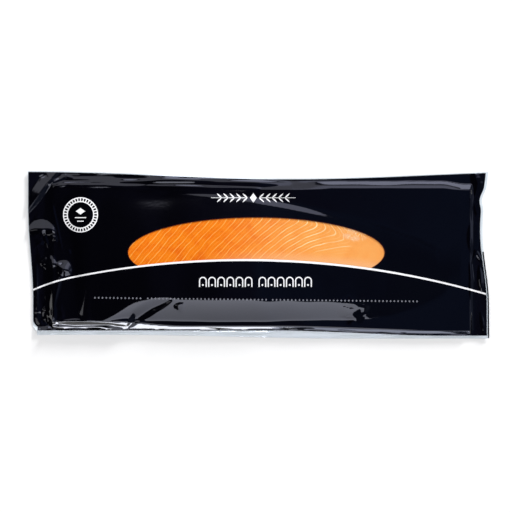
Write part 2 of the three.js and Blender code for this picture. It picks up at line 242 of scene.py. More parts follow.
# How many points each line of the print and of the painted edge shade is drawn through, and how wide a lozenge
# still is at its tip.
POINTS = {
    "arc": 520, "keyline": 400, "cut edge": 90, "stem": 50, "leaf": 9, "ring": 120, "arch": 15, "dot": 12,
}
HALF_TIP = 0.02

# How finely the film is divided: in fine steps along its edges, and in wider ones between, with the change from
# one to the other spread over a stretch. The film is drawn thinner than the construction model has it.
STEP = {"edge": 1.05, "middle": 2.5, "change": (-5, 25)}
FINE_STRIP = {"left": 60, "right": 45, "bottom": 55, "top": 35}
FILM_DRAWN = 0.2
# A cut through a plan halves each crossed side this often, and a corner nearer to the cut than this is outside.
HALVINGS = 20
NEAREST = 1e-4
# A fold's slope is never narrower than this, also at its two ends.
NARROWEST = 1e-6
# Random surfaces run between values on a lattice that repeats after so many steps each way. Reading starts half a
# step off a line of it, so that no line lies on the middle of the pack.
LATTICE = {"steps": (97, 89), "start": 1000.5}


def mix(a, b, t):
    return a + (b - a) * t


def clamp01(t):
    return np.clip(t, 0, 1)


def smooth(start, end, v):
    t = clamp01((v - start) / (end - start))
    return t * t * (3 - 2 * t)


def past(stretch, v):
    """0 where a stretch starts, 1 where it ends."""
    return smooth(stretch["from"], stretch["to"], v)


def hollow(v, at):
    return at["depth"] * np.cos(np.pi / 2 * np.minimum(abs(v - at["middle"]) / at["reach"], 1)) ** 2


def waviness(x, y, size, seed):
    """A smooth random surface between -1 and 1, with bumps about size across."""
    lattice = np.random.RandomState(seed).uniform(-1, 1, LATTICE["steps"])
    u = x / size + LATTICE["start"]
    v = y / size + LATTICE["start"]
    i = np.floor(u).astype(int)
    j = np.floor(v).astype(int)
    a = smooth(0, 1, u - i)
    b = smooth(0, 1, v - j)
    rows, columns = lattice.shape

    def corner(di, dj):
        return lattice[(i + di) % rows, (j + dj) % columns]

    return mix(mix(corner(0, 0), corner(1, 0), a), mix(corner(0, 1), corner(1, 1), a), b)


# Outlines

def cut_bottom(x):
    return -PACK_WIDTH / 2 + BOTTOM_STEP["height"] * (1 - past(BOTTOM_STEP, x))


def cut_top(x):
    return PACK_WIDTH / 2 - hollow(x, TOP_SAG)


def cut_left(y):
    lean = LEFT_LEAN["depth"] * past(LEFT_LEAN, y)
    corner = cut_bottom(-PACK_LENGTH / 2) + CORNER_CUT["reach"]
    return -PACK_LENGTH / 2 + lean + CORNER_CUT["depth"] * clamp01((corner - y) / CORNER_CUT["reach"]) ** 2


def cut_right(y):
    return PACK_LENGTH / 2 - hollow(y, RIGHT_NOTCH) - hollow(y, RIGHT_BOW)


def print_bottom(x):
    return PRINT_BOTTOM["y"] - PRINT_BOTTOM["step"] * past(PRINT_BOTTOM, x)


def card_bottom(x):
    """Where the film turns down along the bottom. Towards the tail it runs past the card's edge, and at the head
    end it draws in."""
    step = (PRINT_BOTTOM["step"] - FILM_TURN) * past(PRINT_BOTTOM, x)
    return CARD["bottom"] - FILM_TURN - step + HEAD_DRAW["depth"] * past(HEAD_DRAW, x)


CUT_EDGES = {"left": cut_left, "right": cut_right, "bottom": cut_bottom, "top": cut_top}
PRINT_EDGES = {
    "left": lambda y: cut_left(y) + CLEAR_STRIP["left"],
    "right": lambda y: cut_right(y) - CLEAR_STRIP["right"],
    "bottom": print_bottom,
    "top": lambda x: cut_top(x) - CLEAR_STRIP["top"],
}


def belly_edge(x):
    share = clamp01((x - BELLY_TAPER["from"]) / BELLY_TAPER["reach"])
    return FISH["belly"] - BELLY_TAPER["drop"] * share ** BELLY_TAPER["power"]


def loin_edge(x):
    share = clamp01((x - LOIN_TAPER["from"]) / LOIN_TAPER["reach"])
    return FISH["loin"] + LOIN_TAPER["rise"] * share ** LOIN_TAPER["power"]


def head_edge(y):
    share = (y - HEAD_HOLLOW["y"]) / HEAD_HOLLOW["half_width"]
    corner = HEAD_HOLLOW["corner_rounding"] * share ** HEAD_HOLLOW["corner_power"]
    return FISH["head"] - HEAD_HOLLOW["depth"] * share ** 2 + corner


# Heights

def along_pack(x, places):
    """A size at x, between the sizes given at places along the pack, with the turns at the places rounded off."""
    return sum(np.interp(x + offset, *zip(*places)) for offset in TURN_OFFSETS) / len(TURN_OFFSETS)


def rounded(inside, foot, width, power):
    reach = inside + foot
    soft = (reach + np.hypot(reach, FOOT_SOFTNESS)) / 2
    return 1 - (1 - clamp01(soft / (foot + width))) ** power


def soft_max(a, b, softness):
    return (a + b + np.hypot(a - b, softness)) / 2


def fish_height(x, y):
    """Height of the film over the fish, above the card."""
    belly = belly_edge(x)
    loin = loin_edge(x)
    across = clamp01((y - loin) / (belly - loin))
    rise = np.sin(clamp01(across / RIDGE["across"]) * np.pi / 2)
    fall = clamp01((across - RIDGE["across"]) / (1 - RIDGE["across"]))
    bend = RIDGE["roundness"]
    fall = (np.hypot(fall, bend) - bend) / (math.hypot(1, bend) - bend)
    ridge = along_pack(x, RIDGE["height"]) * mix(LOIN_SHARE, 1, rise)
    loin_wave = waviness(x, y * LOIN_WAVE["stretch"], LOIN_WAVE["size"], SEEDS["loin"])
    loin_width = along_pack(x, LOIN_WIDTH) + LOIN_WAVE["height"] * loin_wave
    return (
        mix(ridge, along_pack(x, BELLY_THICKNESS), fall)
        * rounded(belly - y, **ROUNDING["belly"])
        * rounded(y - loin, width=loin_width, **ROUNDING["loin"])
        * rounded(x - head_edge(y), **ROUNDING["head"])
        * rounded(FISH["tail"] - x, **ROUNDING["tail"])
    )


def height_on_card(x, y):
    """Height of the film above the card: over the fish, and at the rims along the card's long edges."""
    height = fish_height(x, y)
    for rim, inward in ((RIM["bottom"], y - card_bottom(x)), (RIM["top"], CARD["top"] - y)):
        height = soft_max(height, along_pack(x, rim) - RIM["slope"] * inward, RIM["softness"])
    return height


def margin_lift(x, y):
    """How far the sealed margin is off the table."""
    def rise(side, out, along):
        lift = LIFT[side]
        wave = 1 + WAVE_SHARE * np.sin(2 * np.pi * along / lift["wave"] + lift["phase"])
        return lift["height"] * clamp01(out / lift["width"]) ** LIFT_POWER * wave

    roll = along_pack(x, TOP_ROLL["height"]) * clamp01((cut_top(x) - y) / TOP_ROLL["width"])
    hem_width = print_bottom(x) - cut_bottom(x)
    share = (print_bottom(x) - y) / hem_width
    hem_wave = 1 + WAVE_SHARE * np.sin(2 * np.pi * x / HEM["wave"] + HEM["phase"])
    hem_crease = waviness(x * HEM["across"] / HEM["along"], y, HEM["across"], SEEDS["hem"])
    hem_wave = hem_wave + HEM["crease"] * hem_crease
    hem_height = HEM["height"] * hem_wave * hem_width / (PRINT_BOTTOM["y"] - cut_bottom(-PACK_LENGTH / 2))
    stepped = np.interp(share, *zip(*HEM["steps"]))
    hem = hem_height * np.minimum(clamp01(1 + share * hem_width / HEM["inner"]), stepped)
    (from_x, from_y), (to_x, to_y) = BENT_CORNER["from"], BENT_CORNER["to"]
    length = math.hypot(to_x - from_x, to_y - from_y)
    past_crease = ((x - from_x) * (to_y - from_y) - (y - from_y) * (to_x - from_x)) / length
    return (
        rise("left", CARD["left"] - x, y)
        + rise("right", x - CARD["right"], y)
        + roll * smooth(0, TOP_ROLL["rise"], y - CARD["top"])
        + hem
        + BENT_CORNER["slope"] * np.maximum(past_crease, 0)
    )


def over_card(x, y):
    """1 on the card, falling to 0 where the front web meets the back web."""
    def kept(out, reach, power):
        return (1 - clamp01(out / reach)) ** power

    start, reach, power = (along_pack(x, TOP_FALL[key]) for key in ("start", "reach", "power"))
    return (
        kept(CARD["left"] - x, **FALL["left"])
        * kept(x - CARD["right"], **FALL["right"])
        * (1 - clamp01((y - CARD["top"] - start) / reach) ** power)
    )


def fold_height(x, y, path, height, left, right, flat=False):
    """A fold: a crest along a path with a slope on either side, narrowing to nothing at both ends."""
    reach = max(left, right)
    xs, ys = zip(*path)
    near = np.nonzero(
        (x > min(xs) - reach) & (x < max(xs) + reach) & (y > min(ys) - reach) & (y < max(ys) + reach)
    )
    px, py = x[near], y[near]
    lengths = [math.hypot(bx - ax, by - ay) for (ax, ay), (bx, by) in zip(path, path[1:])]
    nearest = np.full(px.shape, np.inf)
    side = np.zeros(px.shape)
    along = np.zeros(px.shape)
    before = 0
    for (ax, ay), (bx, by), length in zip(path, path[1:], lengths):
        ux, uy = (bx - ax) / length, (by - ay) / length
        run = np.clip((px - ax) * ux + (py - ay) * uy, 0, length)
        off_x = px - ax - run * ux
        off_y = py - ay - run * uy
        distance = np.hypot(off_x, off_y)
        closer = distance < nearest
        nearest = np.where(closer, distance, nearest)
        side = np.where(closer, ux * off_y - uy * off_x, side)
        along = np.where(closer, (before + run) / sum(lengths), along)
        before += length
    swell = np.sin(np.pi * clamp01(along)) ** FOLD_END
    ramp = clamp01(1 - nearest / np.maximum(np.where(side > 0, left, right) * swell, NARROWEST))
    height_here = np.zeros(x.shape)
    height_here[near] = height * swell * mix(ramp, smooth(0, 1, ramp), 0 if flat else FOLD_ROUNDING)
    return height_here


def creased(x, y, size, seed):
    """Random creases between 0 and 1 with sharp crests, about size apart."""
    return 1 - 2 * abs(waviness(x, y, size, seed))


def crumple_height(x, y):
    """How high the crumples stand at a place."""
    height = np.zeros(x.shape)
    for crumple in CRUMPLES.values():
        set_in = smooth(*crumple["x"], x)
        if "y" in crumple:
            set_in = set_in * smooth(*crumple["y"], y)
        height = height + crumple["height"] * set_in
    return height


def folds(x, y):
    """All that stands out of the smooth film or dents it."""
    finer = creased(x, y, CRUMPLE["size"] / CRUMPLE["times_finer"], SEEDS["finer crumple"])
    crumples = creased(x, y, CRUMPLE["size"], SEEDS["crumple"]) + CRUMPLE["finer_share"] * finer
    ripples = RIPPLE["height"] * waviness(x, y, RIPPLE["size"], SEEDS["ripple"])
    streaks = waviness(x * STREAK["across"] / STREAK["along"], y, STREAK["across"], SEEDS["streak"])
    streaks = along_pack(x, STREAK["height"]) * streaks
    streaks = streaks * smooth(0, STREAK["rise"], y - CARD["top"]) * past(STREAK, x)
    single = sum(fold_height(x, y, **fold) for fold in FOLDS.values())
    return single + crumple_height(x, y) * crumples + ripples + streaks


def seal_height(x, y):
    """Underside of the back web."""
    return np.maximum(margin_lift(x, y), 0)


def back_top(x, y):
    """Inner side of the back web."""
    beside_card = np.maximum(1 - over_card(x, y), smooth(0, BACK_CREASE["rise"], card_bottom(x) - y))
    return seal_height(x, y) + FILM + folds(x, y) * beside_card * BACK_CREASE["share"]


def film_top(x, y):
    """Printed side of the front web."""
    on_x = np.clip(x, CARD["left"], CARD["right"])
    on_y = np.clip(y, card_bottom(x), CARD["top"])
    seated = FILM + GAP + seal_height(x, y)
    raised = mix(seated, CARD_TOP + GAP + height_on_card(on_x, on_y), over_card(x, y))
    creases = waviness(x * WALL["across"] / WALL["along"], y + WALL["lean"] * x, WALL["across"], SEEDS["wall"])
    steepness = WALL["slope"] + along_pack(x, WALL["crease"]) * creases
    wall = raised - steepness * np.maximum(card_bottom(x) - y, 0)
    return np.maximum(seated, wall) + FILM + folds(x, y)


# Meshes

def graded(start, end, fine_start, fine_end):
    """Positions from start to end, close together in the two end stretches and wider apart between."""
    places = [start]
    while places[-1] < end:
        here = places[-1]
        inside = min(here - start - fine_start, end - fine_end - here)
        places.append(here + mix(STEP["edge"], STEP["middle"], smooth(*STEP["change"], inside)))
    places = np.array(places)
    return start + (places - start) * (end - start) / (places[-1] - start)


def pouch_plan(edges):
    """A grid over the whole pouch that ends on the given edges: its points, and its triangles."""
    u = graded(-PACK_LENGTH / 2, PACK_LENGTH / 2, FINE_STRIP["left"], FINE_STRIP["right"])
    v = graded(-PACK_WIDTH / 2, PACK_WIDTH / 2, FINE_STRIP["bottom"], FINE_STRIP["top"])
    x, y = np.meshgrid(u, v, indexing="ij")
    place_x = mix(edges["left"](y), edges["right"](y), x / PACK_LENGTH + 0.5)
    place_y = mix(edges["bottom"](x), edges["top"](x), y / PACK_WIDTH + 0.5)
    return np.stack([place_x, place_y], axis=-1).reshape(-1, 2), grid_triangles(len(u), len(v))


def grid_triangles(columns, rows, closed=False):
    """Triangles over a grid of points. A closed grid's last column meets its first."""
    column = np.arange(columns if closed else columns - 1)
    corner = (column[:, None] * rows + np.arange(rows - 1)[None, :]).ravel()
    across = (((column + 1) % columns)[:, None] * rows + np.arange(rows - 1)[None, :]).ravel()
    return np.concatenate(
        [np.stack([corner, across, across + 1], axis=1), np.stack([corner, across + 1, corner + 1], axis=1)]
    )


def split(points, triangles, field):
    """Cuts a plan along the curve where field is zero. Gives all points, then the triangles inside and those
    outside."""
    value = field(points[:, 0], points[:, 1])
    value = np.where(abs(value) < NEAREST, NEAREST, value)
    sides = np.sort(triangles[:, [[0, 1], [1, 2], [2, 0]]].reshape(-1, 2), axis=1)
    edges, edge_of = np.unique(sides, axis=0, return_inverse=True)
    edge_of = edge_of.reshape(-1, 3)
    a, b = edges[:, 0], edges[:, 1]
    crossed = value[a] * value[b] < 0
    a, b = a[crossed], b[crossed]
    low, high = np.zeros(len(a)), np.ones(len(a))
    for _ in range(HALVINGS):
        half = (low + high) / 2
        at = mix(points[a], points[b], half[:, None])
        same = field(at[:, 0], at[:, 1]) * value[a] > 0
        low, high = np.where(same, half, low), np.where(same, high, half)
    new_index = np.full(len(edges), -1)
    new_index[crossed] = len(points) + np.arange(len(a))
    points = np.concatenate([points, mix(points[a], points[b], low[:, None])])
    inside = value[triangles] < 0
    count = inside.sum(axis=1)
    parts = {True: [triangles[count == 3]], False: [triangles[count == 0]]}
    for lone_inside, wanted in ((True, 1), (False, 2)):
        for k in range(3):
            chosen = (count == wanted) & (inside[:, k] == lone_inside)
            p, q, r = (triangles[chosen, (k + n) % 3] for n in range(3))
            pq = new_index[edge_of[chosen, k]]
            rp = new_index[edge_of[chosen, (k + 2) % 3]]
            parts[lone_inside].append(np.stack([p, pq, rp], axis=1))
            parts[not lone_inside].append(np.stack([pq, q, r], axis=1))
            parts[not lone_inside].append(np.stack([pq, r, rp], axis=1))
    return points, np.concatenate(parts[True]), np.concatenate(parts[False])


def closed_sheet(name, points, triangles, bottom, top, material):
    """A closed solid over a plan, between two heights, in metres."""
    used, compact = np.unique(triangles, return_inverse=True)
    triangles = compact.reshape(-1, 3)
    points = points[used]
    count = len(points)
    x, y = points[:, 0], points[:, 1]
    low = np.column_stack([points, bottom(x, y)])
    high = np.column_stack([points, top(x, y)])
    sides = triangles[:, [[0, 1], [1, 2], [2, 0]]].reshape(-1, 2)
    key = sides[:, 0] * count + sides[:, 1]
    rim = sides[~np.isin(key, sides[:, 1] * count + sides[:, 0])]
    start, end = rim[:, 0], rim[:, 1]
    wall = np.concatenate([
        np.stack([start, end, end + count], axis=1),
        np.stack([start, end + count, start + count], axis=1),
    ])
    faces = np.concatenate([triangles + count, triangles[:, ::-1], wall])
    return mesh_object(name, np.concatenate([low, high]) * MM, faces, material)


def mesh_object(name, vertices, faces, material, sharp_angle=50):
    mesh = bpy.data.meshes.new(name)
    mesh.vertices.add(len(vertices))
    mesh.vertices.foreach_set("co", np.asarray(vertices, np.float32).ravel())
    mesh.loops.add(faces.size)
    mesh.loops.foreach_set("vertex_index", faces.astype(np.int32).ravel())
    mesh.polygons.add(len(faces))
    mesh.polygons.foreach_set("loop_start", np.arange(0, faces.size, 3, dtype=np.int32))
    mesh.polygons.foreach_set("loop_total", np.full(len(faces), 3, np.int32))
    mesh.update(calc_edges=True)
    mesh.validate()
    mesh.polygons.foreach_set("use_smooth", np.ones(len(mesh.polygons), bool))
    mesh.set_sharp_from_angle(angle=math.radians(sharp_angle))
    mesh.materials.append(material)
    piece = bpy.data.objects.new(name, mesh)
    bpy.context.scene.collection.objects.link(piece)
    return piece


def hand_over(piece, slot, *nodes):
    """Lets a finished piece ride on the pack and stand for its construction nodes."""
    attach(piece, BODY)
    if nodes:
        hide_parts(*nodes)


# Materials

# Sizes of the patterns that the materials show.
PEEL = {"size": 3.03, "depth": 0.4, "strength": 0.04}
BLOTCH_SIZE = 14.3


def linear(hex_colour, alpha=1.0):
    """An sRGB hex colour as linear red, green, blue and alpha."""
    channels = (int(hex_colour[k:k + 2], 16) / 255 for k in (1, 3, 5))
    return (*(c / 12.92 if c <= 0.04045 else ((c + 0.055) / 1.055) ** 2.4 for c in channels), alpha)


def add_node(tree, kind, settings=None, **sockets):
    """Adds a node with its settings, and links or fills its inputs. An input is named with _ for each space, or
    by its place as _0 or _1."""
    node = tree.nodes.new(kind)
    for key, value in (settings or {}).items():
        setattr(node, key, value)
    for key, value in sockets.items():
        name = key.replace("_", " ").strip()
        socket = node.inputs[int(name)] if name.isdigit() else node.inputs[name]
        if isinstance(value, bpy.types.NodeSocket):
            tree.links.new(value, socket)
        else:
            socket.default_value = value
    return node


def new_material(name):
    material = bpy.data.materials.new(name)
    material.use_nodes = True
    material.node_tree.nodes.clear()
    return material, material.node_tree


def pattern_scale(size):
    """The scale of a noise whose bumps are about a size in millimetres across."""
    return 1 / (size * MM)


def black_printed_film():
    """Pouch film, reverse printed solid black. The ink lies under clear polyester, so the eye sees a deep black
    with the polyester's sharp gloss over it."""
    material, tree = new_material("black_printed_pouch_film")
    place = add_node(tree, "ShaderNodeTexCoord").outputs["Object"]
    # The two webs cling to each other and show a very fine orange peel.
    peel = add_node(
        tree, "ShaderNodeTexNoise", Vector=place, Scale=pattern_scale(PEEL["size"]), Detail=2.0, Roughness=0.5,
    )
    bump = add_node(
        tree, "ShaderNodeBump", Height=peel.outputs[0], Strength=PEEL["strength"], Distance=PEEL["depth"] * MM,
    )
    surface = add_node(
        tree, "ShaderNodeBsdfPrincipled",
        Base_Color=linear("#030307"), Roughness=0.06, IOR=1.6, Normal=bump.outputs[0],
    )
    add_node(tree, "ShaderNodeOutputMaterial", Surface=surface.outputs[0])
    return material


def clear_film(name, tint, haze, face_on):
    """Clear polyamide and polyethylene web: see-through and glossy, and milky by the share haze where it is
    sealed. Each of its two sides mirrors the face_on share of the light that meets it squarely, and more at a
    slant."""
    material, tree = new_material(name)
    through = add_node(tree, "ShaderNodeBsdfTransparent", Color=linear(tint))
    milky = add_node(tree, "ShaderNodeBsdfDiffuse", Color=linear(tint))
    body = add_node(tree, "ShaderNodeMixShader", _0=haze, _1=through.outputs[0], _2=milky.outputs[0])
    gloss = add_node(tree, "ShaderNodeBsdfGlossy", Color=linear("#ffffff"), Roughness=0.06)
    slant = add_node(tree, "ShaderNodeLayerWeight", Blend=0.5).outputs["Facing"]
    rise = add_node(tree, "ShaderNodeMath", {"operation": "POWER"}, _0=slant, _1=5.0)
    share = add_node(
        tree, "ShaderNodeMath", {"operation": "MULTIPLY_ADD"}, _0=rise.outputs[0], _1=0.6, _2=face_on,
    )
    mixed = add_node(tree, "ShaderNodeMixShader", _0=share.outputs[0], _1=body.outputs[0], _2=gloss.outputs[0])
    add_node(tree, "ShaderNodeOutputMaterial", Surface=mixed.outputs[0])
    return material


def printing_ink(name, colour):
    """Flexographic ink under the same clear polyester: a flat, even colour that shares the film's gloss."""
    material, tree = new_material(name)
    surface = add_node(tree, "ShaderNodeBsdfPrincipled", Base_Color=linear(colour), Roughness=0.1, IOR=1.5)
    add_node(tree, "ShaderNodeOutputMaterial", Surface=surface.outputs[0])
    return material


def coated_board():
    """Folding board with a thin clay coat, which makes it pale and smooth with a dull sheen."""
    material, tree = new_material("coated_board")
    surface = add_node(tree, "ShaderNodeBsdfPrincipled", Base_Color=linear("#e9e6df"), Roughness=0.55)
    add_node(tree, "ShaderNodeOutputMaterial", Surface=surface.outputs[0])
    return material


def salmon_flesh():
    """Cold smoked salmon: moist orange muscle with pale fat between its flakes. The grain attribute holds the
    count of flakes from the head end, how strongly the fat shows and how pale the flesh is. The tone attribute
    runs from the head end's deep orange to the tail end's lighter one."""
    material, tree = new_material("cold_smoked_salmon_flesh")
    grain = add_node(tree, "ShaderNodeAttribute", {"attribute_name": "grain"}).outputs["Vector"]
    grain = add_node(tree, "ShaderNodeSeparateXYZ", _0=grain).outputs
    tone = add_node(tree, "ShaderNodeAttribute", {"attribute_name": "tone"}).outputs["Fac"]
    place = add_node(tree, "ShaderNodeTexCoord").outputs["Object"]
    blotches = add_node(
        tree, "ShaderNodeTexNoise", Vector=place, Scale=pattern_scale(BLOTCH_SIZE), Detail=3.0, Roughness=0.6,
    ).outputs[0]
    blotch_share = add_node(
        tree, "ShaderNodeMapRange", Value=blotches, From_Min=0.42, From_Max=0.72, To_Max=0.75,
    ).outputs[0]
    rgba = {"data_type": "RGBA"}
    flesh = add_node(tree, "ShaderNodeMix", rgba, _0=tone, _6=linear("#eb7f14"), _7=linear("#eca150")).outputs[2]
    deep = add_node(tree, "ShaderNodeMix", rgba, _0=tone, _6=linear("#df5f09"), _7=linear("#ea943f")).outputs[2]
    flesh = add_node(tree, "ShaderNodeMix", rgba, _0=blotch_share, _6=flesh, _7=deep).outputs[2]
    flesh = add_node(tree, "ShaderNodeMix", rgba, _0=grain["Z"], _6=flesh, _7=linear("#ebb283")).outputs[2]
    # The seams between the flakes are drawn about 1 mm wide, so that they just show.
    edge = add_node(tree, "ShaderNodeMath", {"operation": "PINGPONG"}, _0=grain["X"], _1=0.5).outputs[0]
    soft = {"interpolation_type": "SMOOTHSTEP"}
    seam = add_node(tree, "ShaderNodeMapRange", soft, Value=edge, From_Min=0.09, From_Max=0.025).outputs[0]
    # A finer seam runs half way between two of the strong ones.
    half_way = add_node(
        tree, "ShaderNodeMapRange", Value=edge, From_Min=0.44, From_Max=0.49, To_Max=0.3,
    ).outputs[0]
    seam = add_node(tree, "ShaderNodeMath", {"operation": "MAXIMUM"}, _0=seam, _1=half_way).outputs[0]
    fat_share = add_node(tree, "ShaderNodeMath", {"operation": "MULTIPLY"}, _0=seam, _1=grain["Y"]).outputs[0]
    fat = add_node(tree, "ShaderNodeMix", rgba, _0=tone, _6=linear("#f5bb62"), _7=linear("#f5e4b8")).outputs[2]
    colour = add_node(tree, "ShaderNodeMix", rgba, _0=fat_share, _6=flesh, _7=fat).outputs[2]
    # The film wets the flesh, so only the small step in index between the two is left to shine.
    surface = add_node(tree, "ShaderNodeBsdfPrincipled", Base_Color=colour, Roughness=0.5, IOR=1.09)
    add_node(tree, "ShaderNodeOutputMaterial", Surface=surface.outputs[0])
    return material


# Webs

def window_field(x, y):
    """Below zero inside the window: inside the ellipse and above the arc."""
    ellipse = np.hypot((x - WINDOW["x"]) / WINDOW["half_length"], (y - WINDOW["y"]) / WINDOW["half_height"]) - 1
    above_arc = np.hypot(x - ARC["x"], y - ARC["y"] + ARC["radius"]) - ARC["radius"]
    return np.maximum(ellipse * WINDOW["half_height"], -above_arc)


def film_under(x, y):
    return film_top(x, y) - FILM_DRAWN


def add_front_web():
    points, triangles = pouch_plan(PRINT_EDGES)
    points, inside, outside = split(points, triangles, window_field)
    printed = closed_sheet("printed_film", points, outside, film_under, film_top, black_printed_film())
    clear = clear_film("clear_window_film", tint="#ffffff", haze=0.0, face_on=0.02)
    window = closed_sheet("clear_window", points, inside, film_under, film_top, clear)
    hand_over(printed, "printed_film", "front_film")
    hand_over(window, "clear_film", "window_film")


def add_back_web():
    points, triangles = pouch_plan(CUT_EDGES)
    milky = clear_film("clear_back_web", tint="#f0f7fd", haze=0.7, face_on=0.05)
    web = closed_sheet("clear_back_film", points, triangles, seal_height, back_top, milky)
    hand_over(web, "clear_film", "back_film")


# Fish

# The grid that the fish is cut from: stretches of even steps, fine where the window shows them. No line of it
# lies on the fish's straight edges.
FISH_GRID = {
    "x": [(-274, -180, 3.0), (-180, 176, 1.25), (176, 262.1, 3.0)],
    "y": [(-94, -22, 3.0), (-22, 54, 1.25), (54, 88, 3.25)],
}
UNDER_FILM = 0.15
# The flakes lean by so many degrees at either end of a stretch, and turn back over this width at the seam.
FLAKE = {"first": -190, "spacing": 10.4, "widening": 0.004, "lean": (49, 31), "from": -170, "to": 110, "turn": 5}
FLAKE_BEND = {"reach": 1.2, "size": 14}
FLAKE_WOBBLE = {"reach": 0.5, "size": 5}
TANGLE = {"x": 130, "y": 28, "half_length": 22, "half_height": 12, "stir": 14, "size": 5, "fat_size": 4}
SEAM = {"y": 50, "drop": 14, "from": 0, "reach": 90, "power": 2.6}
# The fat fades out below a line along the pack, is weaker at the head end and in patches, and ends near the tail.
FAT = {
    "line": [(-170, -60), (-100, -16), (-54, -8), (0, -4), (40, 1), (74, 8), (170, 8)],
    "fade": (-9, 7), "end": (128, 112), "weakest": 0.75, "from": -60, "to": 60,
    "patch_middle": 0.75, "patch_swing": 0.5, "patch_size": 9,
}
# The flesh is paler in a strip along the arc and towards the tail.
PALE_STRIP = {"share": 0.6, "fade": (16, 1), "from": -90, "to": 60}
PALE_TAIL = {"share": 0.12, "from": 60, "to": 150}
TONE = {"from": -65, "to": 105}


def in_tangle(x, y):
    """1 where the fat near the tail end runs every way, falling to 0 round it."""
    out = np.hypot((x - TANGLE["x"]) / TANGLE["half_length"], (y - TANGLE["y"]) / TANGLE["half_height"])
    return smooth(1, 0.5, out)


def flake_count(x, y):
    """Counts the flakes from the head end. They run slantwise from a seam along the belly and turn back above
    it."""
    seam = SEAM["y"] - SEAM["drop"] * (np.maximum(x - SEAM["from"], 0) / SEAM["reach"]) ** SEAM["power"]
    below = np.hypot(y - seam, FLAKE["turn"])
    lean = 1 / np.tan(np.radians(mix(*FLAKE["lean"], past(FLAKE, x))))
    bend = FLAKE_BEND["reach"] * waviness(x, y, FLAKE_BEND["size"], SEEDS["flake bend"])
    wobble = FLAKE_WOBBLE["reach"] * waviness(x, y, FLAKE_WOBBLE["size"], SEEDS["flake wobble"])
    stir = TANGLE["stir"] * in_tangle(x, y) * waviness(x, y, TANGLE["size"], SEEDS["tangle"])
    along = x + below * lean + bend + wobble - FLAKE["first"] + stir
    return along / (FLAKE["spacing"] * (1 + FLAKE["widening"] * along / FLAKE["spacing"]))


def fat_showing(x, y):
    """How strongly the fat between the flakes shows."""
    above = smooth(*FAT["fade"], y - np.interp(x, *zip(*FAT["line"])))
    showing = above * mix(FAT["weakest"], 1, past(FAT, x)) * smooth(*FAT["end"], x)
    patches = FAT["patch_middle"] + FAT["patch_swing"] * waviness(x, y, FAT["patch_size"], SEEDS["fat"])
    return np.maximum(showing * clamp01(patches), in_tangle(x, y))


def paleness(x, y):
    """How pale the flesh is between the seams."""
    arc_y = ARC["y"] - (x - ARC["x"]) ** 2 / (2 * ARC["radius"])
    strip = PALE_STRIP["share"] * smooth(*PALE_STRIP["fade"], y - arc_y) * past(PALE_STRIP, x)
    tail = PALE_TAIL["share"] * past(PALE_TAIL, x)
    tangle = in_tangle(x, y) * clamp01(0.5 + waviness(x, y, TANGLE["fat_size"], SEEDS["pale fat"]))
    return clamp01(strip + tail + tangle)


def add_fish():
    u, v = (np.concatenate([np.arange(*stretch) for stretch in FISH_GRID[axis]]) for axis in ("x", "y"))
    x, y = np.meshgrid(u, v, indexing="ij")
    points = np.stack([x, y], axis=-1).reshape(-1, 2)

    def outline(x, y):
        return np.maximum.reduce([y - belly_edge(x), loin_edge(x) - y, head_edge(y) - x])

    points, inside, _ = split(points, grid_triangles(len(u), len(v)), outline)
    fish = closed_sheet(
        "salmon_flesh",
        points,
        inside,
        lambda x, y: np.full_like(x, CARD_TOP + GAP / 2),
        lambda x, y: np.maximum(film_top(x, y) - FILM - UNDER_FILM, CARD_TOP + GAP),
        salmon_flesh(),
    )
    mesh = fish.data
    place = np.empty(len(mesh.vertices) * 3, np.float32)
    mesh.vertices.foreach_get("co", place)
    x, y = place.reshape(-1, 3)[:, :2].T / MM
    grain = np.stack([flake_count(x, y), fat_showing(x, y), paleness(x, y)], axis=-1)
    attribute = mesh.attributes.new("grain", "FLOAT_VECTOR", "POINT")
    attribute.data.foreach_set("vector", grain.astype(np.float32).ravel())
    tone = mesh.attributes.new("tone", "FLOAT", "POINT")
    tone.data.foreach_set("value", past(TONE, x).astype(np.float32))
    hand_over(fish, "salmon", "salmon_side")


# Print

def ribbon(centre, half_width, rows=3, closed=False):
    """A plan of even rows on both sides of a line of points."""
    step = np.roll(centre, -1, 0) - np.roll(centre, 1, 0) if closed else np.gradient(centre, axis=0)
    across = np.stack([-step[:, 1], step[:, 0]], axis=1) / np.hypot(*step.T)[:, None]
    share = np.linspace(1, -1, rows)
    half_width = np.broadcast_to(half_width, len(centre))
    points = centre[:, None, :] + across[:, None, :] * (half_width[:, None] * share)[:, :, None]
    return points.reshape(-1, 2), grid_triangles(len(centre), rows, closed)[:, ::-1]


def arc_height(x):
    drop = ARC_DROP["drop"] * (np.maximum(ARC_DROP["from"] - x, 0) / ARC_DROP["reach"]) ** 2
    return ARC["y"] - ARC["radius"] + np.sqrt(ARC["radius"] ** 2 - (x - ARC["x"]) ** 2) - drop


def add_arc(white):
    x = np.linspace(ARC["from"], ARC["to"], POINTS["arc"])
    half_width = np.interp(x, *zip(*ARC["half_width"]))
    add_shape("white_arc", ribbon(np.stack([x, arc_height(x)], axis=1), half_width), white)


def circle(x, y, radius, count):
    turn = np.linspace(0, 2 * np.pi, count, endpoint=False)
    return np.stack([x + radius * np.cos(turn), y + radius * np.sin(turn)], axis=1)


def polygon(*corners):
    """A convex plan from its corners, anticlockwise."""
    corners = np.array(corners, float)
    after = np.arange(1, len(corners) - 1)
    return corners, np.stack([np.zeros_like(after), after, after + 1], axis=1)


def together(*plans):
    """Several plans as one."""
    points, triangles, count = [], [], 0
    for plan_points, plan_triangles in plans:
        points.append(plan_points)
        triangles.append(plan_triangles + count)
        count += len(plan_points)
    return np.concatenate(points), np.concatenate(triangles)


